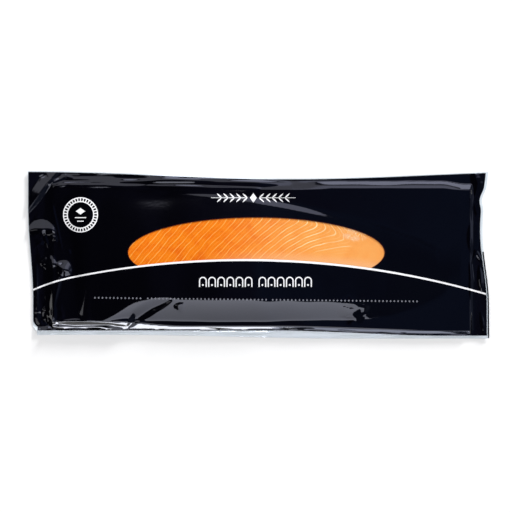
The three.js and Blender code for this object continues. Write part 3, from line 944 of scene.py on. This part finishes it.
def bar(half_length, half_width, pointed=False):
    """A straight bar along x, or a lozenge, in short steps so that it follows the film."""
    along = np.linspace(-half_length, half_length, 2 * math.ceil(half_length) + 1)
    spine = np.stack([along, 0 * along], axis=1)
    return ribbon(spine, half_width * (1 - abs(along) / half_length) + HALF_TIP if pointed else half_width)


def moved(plan, dx, dy, mirror=1):
    """A plan moved to a place, and turned over to the left where mirror is -1."""
    points, triangles = plan
    return points * (mirror, 1) + (dx, dy), triangles[:, ::mirror]


def repeat_tree(name, round_ring):
    """Geometry nodes that set copies of a motif in a straight row, or round a ring."""
    tree = bpy.data.node_groups.new(name, "GeometryNodeTree")
    row_sizes = {"Start": "NodeSocketVector", "Step": "NodeSocketVector"}
    sizes = {"Radius": "NodeSocketFloat"} if round_ring else row_sizes
    for socket, kind in {"Motif": "NodeSocketGeometry", "Count": "NodeSocketInt", **sizes}.items():
        tree.interface.new_socket(socket, in_out="INPUT", socket_type=kind)
    tree.interface.new_socket("Ink", in_out="INPUT", socket_type="NodeSocketMaterial")
    tree.interface.new_socket("Row", in_out="OUTPUT", socket_type="NodeSocketGeometry")
    given = add_node(tree, "NodeGroupInput").outputs
    if round_ring:
        line = add_node(tree, "GeometryNodeMeshCircle", Vertices=given["Count"], Radius=given["Radius"])
        place = add_node(tree, "GeometryNodeInputPosition").outputs[0]
        turn = add_node(tree, "FunctionNodeAlignRotationToVector", {"axis": "Y"}, Vector=place).outputs[0]
    else:
        line = add_node(
            tree, "GeometryNodeMeshLine",
            Count=given["Count"], Start_Location=given["Start"], Offset=given["Step"],
        )
        turn = (0, 0, 0)
    row = add_node(
        tree, "GeometryNodeInstanceOnPoints", Points=line.outputs[0], Instance=given["Motif"], Rotation=turn,
    )
    row = add_node(tree, "GeometryNodeRealizeInstances", Geometry=row.outputs[0])
    row = add_node(tree, "GeometryNodeSetMaterial", Geometry=row.outputs[0], Material=given["Ink"])
    add_node(tree, "NodeGroupOutput", _0=row.outputs[0])
    return tree


def repeated(name, motif, tree, ink, **sizes):
    """The plan of a motif repeated by a tree."""
    points, triangles = motif
    motif_mesh = bpy.data.meshes.new(name)
    motif_mesh.from_pydata(np.column_stack([points, np.zeros(len(points))]).tolist(), [], triangles.tolist())
    holder = bpy.data.objects.new(name, motif_mesh)
    bpy.context.scene.collection.objects.link(holder)
    modifier = holder.modifiers.new(name, "NODES")
    modifier.node_group = tree
    inputs = {socket.name: socket.identifier for socket in tree.interface.items_tree if socket.in_out == "INPUT"}
    for key, value in {**sizes, "Ink": ink}.items():
        modifier[inputs[key]] = value
    evaluated = holder.evaluated_get(bpy.context.evaluated_depsgraph_get())
    row = bpy.data.meshes.new_from_object(evaluated)
    holder.modifiers.remove(modifier)
    bpy.data.objects.remove(holder)
    row.calc_loop_triangles()
    places = np.empty(len(row.vertices) * 3, np.float32)
    row.vertices.foreach_get("co", places)
    corners = np.empty(len(row.loop_triangles) * 3, np.int32)
    row.loop_triangles.foreach_get("vertices", corners)
    return places.reshape(-1, 3)[:, :2].astype(float), corners.reshape(-1, 3)


# Also lays the strip of painted shade along the right cut edge.
def add_shape(name, plan, ink, slot="white_print", lift=0.0):
    """A printed shape lying on the film. The slot, the film's own for dark shapes, is not used."""
    sheet = closed_sheet(
        name,
        *plan,
        lambda x, y: film_top(x, y) + INK["below"] + lift,
        lambda x, y: film_top(x, y) + INK["above"] + lift,
        ink,
    )
    hand_over(sheet, slot)


def add_roundel(white, dark, ring_tree):
    """A ring with marks round it, and a lozenge over two bars in the middle."""
    at = (ROUNDEL["x"], ROUNDEL["y"])
    middle = (ROUNDEL["outer"] + ROUNDEL["inner"]) / 2
    half = (ROUNDEL["outer"] - ROUNDEL["inner"]) / 2
    add_shape("roundel_ring", ribbon(circle(*at, middle, POINTS["ring"]), half, rows=6, closed=True), white)
    foot, head, height = (ROUNDEL["mark"][key] for key in ("half_foot", "half_head", "half_height"))
    mark = polygon((-foot, -height), (foot, -height), (head, height), (-head, height))
    marks = repeated("ring_marks", mark, ring_tree, dark, Count=ROUNDEL["marks"], Radius=middle)
    add_shape("roundel_marks", moved(marks, *at), dark, "printed_film", INK["above"])
    bars = [moved(bar(half_length, ROUNDEL["bar_half_width"]), 0, y) for half_length, y in ROUNDEL["bars"]]
    lozenge = ROUNDEL["lozenge"]
    diamond = moved(bar(lozenge["half_length"], lozenge["half_width"], pointed=True), 0, lozenge["y"])
    add_shape("roundel_centre", moved(together(diamond, *bars), *at), white)


def leaf():
    """A slender leaf that curves up to the right, with its mirror image below."""
    along = np.linspace(0, 1, POINTS["leaf"])
    rise = LEAF["off_stem"] + LEAF["rise"] * along ** LEAF["curve"]
    spine = np.stack([LEAF["length"] * along, rise], axis=1)
    width = LEAF["half_width"] * np.sin(np.pi * along) ** LEAF["fullness"] + LEAF["least_half_width"]
    upper = ribbon(spine, width)
    return together(upper, (upper[0] * (1, -1), upper[1][:, ::-1]))


def add_divider(white, row_tree):
    """A divider across the top: two sprays of leaves that meet at a lozenge."""
    x, y, start, end = (DIVIDER[key] for key in ("x", "y", "start", "half_length"))
    pitch = (end - start - DIVIDER["bare_tip"]) / DIVIDER["leaves"]
    spray = repeated(
        "spray", leaf(), row_tree, white, Count=DIVIDER["leaves"], Start=(start, 0, 0), Step=(pitch, 0, 0),
    )
    along = np.linspace(start, end, POINTS["stem"])
    stem_width = np.interp(along, [start, end], DIVIDER["stem_half_width"])
    stem = ribbon(np.stack([along, 0 * along], axis=1), stem_width)
    for name, mirror in (("right_spray", 1), ("left_spray", -1)):
        add_shape(name, moved(together(spray, stem), x, y, mirror), white)
    add_shape("divider_lozenge", moved(bar(**DIVIDER["lozenge"], pointed=True), x, y), white)


def add_frieze(white, row_tree):
    """Rows of open arches, like fish scales, under the window."""
    turn = np.linspace(0, np.pi, POINTS["arch"])
    half_stroke = FRIEZE["stroke"] / 2
    radius = FRIEZE["pitch"] / 2 - FRIEZE["gap"] / 2 - half_stroke
    arch = np.stack([np.cos(turn), np.sin(turn)], axis=1) * radius + (0, FRIEZE["leg"])
    centre = np.concatenate([[(radius, 0)], arch, [(-radius, 0)]])
    dot = moved(polygon(*circle(0, 0, FRIEZE["dot"], POINTS["dot"])), 0, FRIEZE["dot_y"])
    motif = together(ribbon(centre, half_stroke, rows=3), dot)
    step = (FRIEZE["pitch"], 0, 0)
    for name, start, count in FRIEZE["groups"]:
        row = repeated(name, motif, row_tree, white, Count=count, Start=(start, FRIEZE["y"], 0), Step=step)
        add_shape(name, row, white)


def add_bead_line(grey, row_tree):
    """A fine line of beads under the frieze, in three lengths."""
    (from_x, from_y), (to_x, to_y) = BEADS["line"]
    slope = (to_y - from_y) / (to_x - from_x)
    step = (BEADS["pitch"], slope * BEADS["pitch"], 0)
    length, width = BEADS["half_length"], BEADS["half_width"]
    bead = polygon((0, -width), (length, 0), (0, width), (-length, 0))
    for name, start, count in BEADS["lengths"]:
        y = from_y + slope * (start - from_x)
        row = repeated(name, bead, row_tree, grey, Count=count, Start=(start, y, 0), Step=step)
        add_shape(name, row, grey)


def add_keyline(maroon):
    """The dark red line that edges the window above the arc."""
    past_half = KEYLINE["past_half_turn"]
    turn = np.linspace(-past_half, np.pi + past_half, POINTS["keyline"])
    x = WINDOW["x"] + (WINDOW["half_length"] + KEYLINE["outside"]) * np.cos(turn)
    y = WINDOW["y"] + (WINDOW["half_height"] + KEYLINE["outside"]) * np.sin(turn)
    line = np.stack([x, y], axis=1)[y > arc_height(x) + KEYLINE["above_arc"]]
    add_shape("window_keyline", ribbon(line, KEYLINE["half_width"]), maroon, "printed_film")


def add_painted_edge_shade(dark):
    """Painted shade along the cut edge on the right: a strip of dark ink where the edge shows dark as it curls
    up.
    """
    y = np.linspace(CUT_EDGE_SHADE["from"], CUT_EDGE_SHADE["to"], POINTS["cut edge"])
    x = cut_right(y) - CUT_EDGE_SHADE["inset"]
    add_shape("painted_edge_shade", ribbon(np.stack([x, y], axis=1), CUT_EDGE_SHADE["half_width"]), dark, "printed_film")


def add_print():
    white = printing_ink("white_printing_ink", "#f2f2f6")
    grey = printing_ink("grey_printing_ink", "#7f808a")
    # The black ink serves both the roundel's print and the painted shade along the right cut edge.
    dark = printing_ink("black_ink_and_painted_edge_shade", "#08080c")
    maroon = printing_ink("maroon_printing_ink", "#3a1210")
    row_tree = repeat_tree("row_of_motifs", round_ring=False)
    ring_tree = repeat_tree("ring_of_motifs", round_ring=True)
    add_arc(white)
    add_keyline(maroon)
    add_roundel(white, dark, ring_tree)
    add_divider(white, row_tree)
    add_frieze(white, row_tree)
    add_bead_line(grey, row_tree)
    # This last one is painted shade, not print.
    add_painted_edge_shade(dark)


# Studio

# The photograph's frame: its side in pixels, how many millimetres one pixel shows, and the place in its middle.
FRAME_PIXELS = 512
PIXEL = 1.345
FRAME_CENTRE = (-3.36, -1.68)
CAMERA_HEIGHT = 3000
SENSOR = 36
FARTHEST = 100


def add_camera():
    camera = bpy.data.cameras.new("camera")
    camera.sensor_width = SENSOR
    camera.lens = SENSOR * CAMERA_HEIGHT / (FRAME_PIXELS * PIXEL)
    camera.clip_end = FARTHEST
    holder = bpy.data.objects.new("camera", camera)
    holder.location = [v * MM for v in (*FRAME_CENTRE, CAMERA_HEIGHT)]
    bpy.context.scene.collection.objects.link(holder)
    bpy.context.scene.camera = holder


# Soft boxes that show in the film: the point each faces and how far off it stands, which way from +X round to
# +Y, how far down from straight above, its size, and how bright it is. Some are moved along the pack or turned,
# and one fades along its length.
SOFT_BOXES = {
    "front": {
        "aim": (0, -80), "off": 1100, "towards": -90, "down": 44.5, "roll": -5, "shift": -35,
        "size": (590, 1280), "radiance": 2.2, "tint": "#e6e9fb", "fade": (0.6, 1.4),
    },
    "front strip": {
        "aim": (0, -97), "off": 1000, "towards": -90, "down": 83, "shift": -500,
        "size": (1070, 170), "radiance": 13, "tint": "#f6f8ff",
    },
    "front strip wide": {
        "aim": (0, -97), "off": 1000, "towards": -90, "down": 81, "shift": 50,
        "size": (1100, 200), "radiance": 4.4, "tint": "#dfe6ff",
    },
    "back": {
        "aim": (0, 90), "off": 1300, "towards": 90, "down": 35, "shift": -400,
        "size": (1900, 680), "radiance": 0.95, "tint": "#e6e8fb",
    },
    "back right": {
        "aim": (0, 90), "off": 1300, "towards": 90, "down": 32, "shift": 420,
        "size": (700, 500), "radiance": 0.8, "tint": "#cfd4ff",
    },
    "back strip": {
        "aim": (0, 90), "off": 1200, "towards": 90, "down": 62.5,
        "size": (2200, 410), "radiance": 3.6, "tint": "#dfe3ff",
    },
    "left": {
        "aim": (-270, 0), "off": 1200, "towards": 214, "down": 28,
        "size": (340, 300), "radiance": 1.2, "tint": "#f0f0f8",
    },
    "right": {
        "aim": (280, 60), "off": 1200, "towards": 15, "down": 38,
        "size": (560, 560), "radiance": 0.55, "tint": "#c4cdf0",
    },
}
# Suns that light what isn't glossy: a slanting one through a window, and a wide one from above.
SUNS = {
    "window": {"towards": 58, "down": 75, "spread": 12, "strength": 3.7},
    "overhead": {"towards": 0, "down": 0, "spread": 150, "strength": 2.6},
}
SUN_HEIGHT = 1000
# What the film mirrors of the room between the soft boxes, from the -X side (-1) over the top (0) to the +X side.
ROOM = [
    (-1, "#040406"), (-0.1, "#06060a"), (0, "#232338"), (0.09, "#283450"), (0.18, "#1c2438"), (0.3, "#20283a"),
    (1, "#505870"),
]
ROOM_STRENGTH = 1.5
# The sweep reaches far past the frame, and lies a little below the pack so that the two don't share a plane.
SWEEP = {"half_side": 20000, "below": 0.2}


def outward(towards, down):
    """The direction that leads away from the pack."""
    turn, tilt = math.radians(towards), math.radians(down)
    return (math.cos(turn) * math.sin(tilt), math.sin(turn) * math.sin(tilt), math.cos(tilt))


def add_light(name, kind, location, towards, down):
    """A light that shines back along the direction that it stands in, and isn't seen itself."""
    light = bpy.data.lights.new(name, kind)
    holder = bpy.data.objects.new(name, light)
    holder.location = [v * MM for v in location]
    holder.rotation_euler = (math.radians(down), 0, math.radians(towards + 90))
    holder.visible_camera = False
    bpy.context.scene.collection.objects.link(holder)
    return light, holder


def add_soft_box(name, aim, off, towards, down, size, radiance, tint, roll=0, shift=0, fade=(1, 1)):
    """A rectangle that is equally bright wherever it stands, and only shows in what is glossy."""
    location = [base + off * way for base, way in zip((*aim, 0), outward(towards, down))]
    location[0] += shift
    light, holder = add_light(name, "AREA", location, towards, down)
    holder.rotation_euler.rotate_axis("Z", math.radians(roll))
    light.shape = "RECTANGLE"
    light.size = size[0] * MM
    light.size_y = size[1] * MM
    light.color = linear(tint)[:3]
    light.energy = radiance * math.pi * light.size * light.size_y
    light.use_nodes = True
    tree = light.node_tree
    tree.nodes.clear()
    along = add_node(tree, "ShaderNodeNewGeometry").outputs["Parametric"]
    along = add_node(tree, "ShaderNodeSeparateXYZ", _0=along).outputs["Y"]
    strength = add_node(tree, "ShaderNodeMapRange", Value=along, To_Min=fade[0], To_Max=fade[1]).outputs[0]
    glow = add_node(tree, "ShaderNodeEmission", Strength=strength)
    add_node(tree, "ShaderNodeOutputLight", Surface=glow.outputs[0])
    holder.visible_diffuse = False


def add_studio():
    world = bpy.data.worlds.new("studio")
    bpy.context.scene.world = world
    world.use_nodes = True
    tree = world.node_tree
    tree.nodes.clear()
    direction = add_node(tree, "ShaderNodeTexCoord").outputs["Generated"]
    sideways = add_node(tree, "ShaderNodeSeparateXYZ", _0=direction).outputs["X"]
    share = add_node(tree, "ShaderNodeMapRange", Value=sideways, From_Min=-1.0)
    room = add_node(tree, "ShaderNodeValToRGB", _0=share.outputs[0])
    stops = room.color_ramp.elements
    for place, _ in ROOM[1:-1]:
        stops.new((place + 1) / 2)
    for stop, (_, colour) in zip(stops, ROOM):
        stop.color = linear(colour)
    background = add_node(tree, "ShaderNodeBackground", Color=room.outputs[0], Strength=ROOM_STRENGTH)
    add_node(tree, "ShaderNodeOutputWorld", Surface=background.outputs[0])
    world.cycles_visibility.diffuse = False
    for name, box in SOFT_BOXES.items():
        add_soft_box(name, **box)
    for name, sun in SUNS.items():
        light, holder = add_light(name, "SUN", (0, 0, SUN_HEIGHT), sun["towards"], sun["down"])
        light.angle = math.radians(sun["spread"])
        light.energy = sun["strength"]
        holder.visible_glossy = False


def painted_sweep():
    """A studio sweep in matt white paint, which shows only as an even white with soft shadows."""
    material, tree = new_material("white_sweep")
    surface = add_node(tree, "ShaderNodeBsdfDiffuse", Color=linear("#f7f7f8"))
    add_node(tree, "ShaderNodeOutputMaterial", Surface=surface.outputs[0])
    return material


def add_floor():
    half = SWEEP["half_side"] * MM
    mesh = bpy.data.meshes.new("floor")
    mesh.from_pydata([(-half, -half, 0), (half, -half, 0), (half, half, 0), (-half, half, 0)], [], [(0, 1, 2, 3)])
    mesh.materials.append(painted_sweep())
    floor = bpy.data.objects.new("floor", mesh)
    floor.location.z = -SWEEP["below"] * MM
    bpy.context.scene.collection.objects.link(floor)


add_camera()
add_studio()
add_floor()
bpy.context.scene.view_settings.view_transform = "Standard"

add_front_web()
add_back_web()
add_fish()
add_print()
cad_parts["card"].data.materials.clear()
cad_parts["card"].data.materials.append(coated_board())

bpy.context.view_layer.update()
